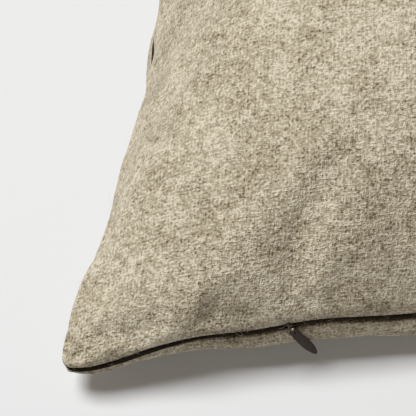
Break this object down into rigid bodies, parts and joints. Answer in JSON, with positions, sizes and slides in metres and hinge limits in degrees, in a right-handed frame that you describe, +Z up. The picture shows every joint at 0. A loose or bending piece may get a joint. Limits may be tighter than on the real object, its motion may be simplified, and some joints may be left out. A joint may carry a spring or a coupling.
{
  "type": "throw pillow",
  "caption": "square knife-edge throw pillow in fulled wool with dark contrast piping, a concealed zip with a leaf-shaped pull tab, and a filled cotton insert",
  "frame": {"origin": "centre of the underside, on the surface that the pillow lies on", "axes": "+Z up out of the crown, the zip side faces -Y, +X runs along the zip side away from the closed slider"},
  "size_m": [0.4836, 0.4836, 0.137],
  "materials": {
    "wool": "matte",
    "piping_cloth": "matte",
    "cotton_cord": "matte",
    "thread": "matte",
    "zip_tape": "matte",
    "zip_teeth": "satin",
    "enamelled_metal": "satin",
    "zip_stops": "satin",
    "downproof_cotton": "matte",
    "cotton_thread": "matte",
    "feather_filling": "matte"
  },
  "bodies": {
    "pillow": {"cover_top_panel": "wool", "cover_bottom_panel": "wool", "piping_strip": "piping_cloth", "piping_cord": "cotton_cord", "cover_seam_thread": "thread", "zip_tape_upper": "zip_tape", "zip_tape_lower": "zip_tape", "zip_teeth_upper": "zip_teeth", "zip_teeth_lower": "zip_teeth", "zip_top_stops": "zip_stops", "zip_bottom_stop": "zip_stops", "zip_thread_upper": "thread", "zip_thread_lower": "thread", "zip_bar_tacks": "thread", "insert_top_panel": "downproof_cotton", "insert_bottom_panel": "downproof_cotton", "insert_seam_thread": "cotton_thread", "insert_filling": "feather_filling"},
    "slider": {"zip_slider": "enamelled_metal"},
    "pull_tab": {"zip_pull_tab": "enamelled_metal"}
  },
  "joints": [
    {"name": "zip_travel", "type": "hinge", "parent": "pillow", "child": "slider", "pos_m": [0, -1.00235, 0.03095], "axis": [0, 0, -1], "range_deg": [0, 20.57]},
    {"name": "tab_flip", "type": "hinge", "parent": "slider", "child": "pull_tab", "pos_m": [-0.14146, -0.224, 0.03095], "axis": [-0.8521, -0.1549, -0.5], "range_deg": [0, 150]}
  ]
}
